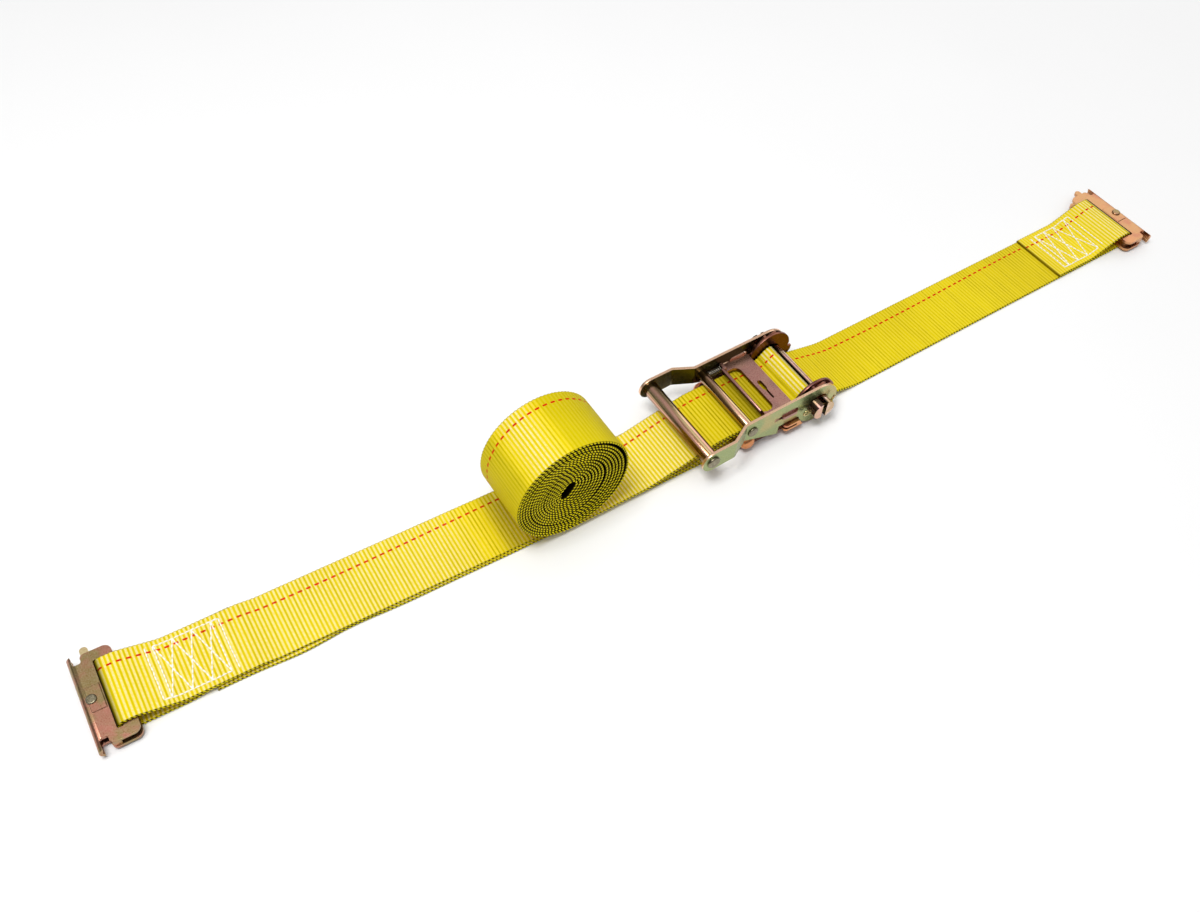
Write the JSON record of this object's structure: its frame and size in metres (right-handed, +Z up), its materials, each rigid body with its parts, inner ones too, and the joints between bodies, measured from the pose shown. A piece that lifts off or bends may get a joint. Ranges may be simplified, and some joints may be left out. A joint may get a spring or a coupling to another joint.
{
  "type": "ratchet tie down",
  "caption": "Ratchet tie-down strap: yellow webbing with a steel ratchet, a rolled free end and a spring E-track fitting at each end.",
  "frame": {"origin": "on the surface the strap lies on, straight below the middle of the ratchet's spool", "axes": "+X along the strap from the ratchet towards the load strap's fitting, +Y across the strap along the spool, +Z up"},
  "size_m": [0.9229, 0.1006, 0.0949],
  "materials": {
    "webbing": "woven polyester webbing, yellow with a dashed red tracer near the +Y edge",
    "handle_plating": "yellow-zinc plated sheet steel with an olive sheen",
    "base_plating": "yellow-zinc plated sheet steel, darker brown-orange",
    "pawl_plating": "yellow-zinc plated sheet steel with a pink-mauve sheen",
    "lock_plating": "yellow-zinc plated steel with an orange sheen",
    "fitting_plating": "yellow-zinc plated sheet steel, bronze with olive and pink patches",
    "latch_plating": "yellow-zinc plated sheet steel, pale yellow",
    "bright_zinc": "bright plated round steel with pink and yellow streaks",
    "spring_wire": "plain spring steel wire"
  },
  "bodies": {
    "base": {"base_frame": "base_plating", "anchor_rivet": "lock_plating", "anchor_sleeve": "bright_zinc", "lock_pawl_spring": "spring_wire", "left_fitting_body": "fitting_plating", "left_fitting_rivet": "bright_zinc", "left_fitting_spring": "spring_wire", "right_fitting_body": "fitting_plating", "right_fitting_rivet": "bright_zinc", "right_fitting_spring": "spring_wire", "fixed_strap": "webbing", "tail_strap": "webbing", "load_strap": "webbing", "strap_roll": "webbing"},
    "handle": {"handle_plate_near": "handle_plating", "handle_plate_far": "handle_plating", "grip_tube": "bright_zinc", "grip_rivet": "bright_zinc", "crossbar_tube": "bright_zinc", "crossbar_rivet": "bright_zinc", "drive_pawl_spring_near": "spring_wire", "drive_pawl_spring_far": "spring_wire"},
    "spool": {"spool_rod_left": "bright_zinc", "spool_rod_right": "bright_zinc", "ratchet_wheel_near": "base_plating", "ratchet_wheel_far": "base_plating", "cotter_pin_near": "bright_zinc", "cotter_pin_far": "bright_zinc", "spool_turn": "webbing"},
    "drive_pawl": {"drive_pawl": "pawl_plating"},
    "lock_pawl": {"lock_pawl": "lock_plating"},
    "left_latch": {"left_fitting_latch": "latch_plating"},
    "right_latch": {"right_fitting_latch": "latch_plating"}
  },
  "joints": [
    {"name": "handle_hinge", "type": "hinge", "parent": "base", "child": "handle", "pos_m": [0, 0, 0.019], "axis": [0, 1, 0], "range_deg": [0, 168]},
    {"name": "spool_turn", "type": "hinge", "parent": "base", "child": "spool", "pos_m": [0, 0, 0.019], "axis": [0, 1, 0], "continuous": true},
    {"name": "drive_pawl_slide", "type": "slide", "parent": "handle", "child": "drive_pawl", "axis": [-1, 0, 0], "range_m": [0, 0.006], "stiffness_N_per_m": 800, "springref_m": -0.002, "deforming": ["drive_pawl_spring_near", "drive_pawl_spring_far"]},
    {"name": "lock_pawl_slide", "type": "slide", "parent": "base", "child": "lock_pawl", "axis": [-1, 0, 0], "range_m": [0, 0.004], "stiffness_N_per_m": 800, "springref_m": -0.002, "deforming": ["lock_pawl_spring"]},
    {"name": "left_latch_slide", "type": "slide", "parent": "base", "child": "left_latch", "axis": [-0.0349, -0.9994, 0], "range_m": [0, 0.006], "stiffness_N_per_m": 600, "springref_m": -0.002, "deforming": ["left_fitting_spring"]},
    {"name": "right_latch_slide", "type": "slide", "parent": "base", "child": "right_latch", "axis": [0.0148, -0.9999, 0], "range_m": [0, 0.006], "stiffness_N_per_m": 600, "springref_m": -0.002, "deforming": ["right_fitting_spring"]}
  ]
}
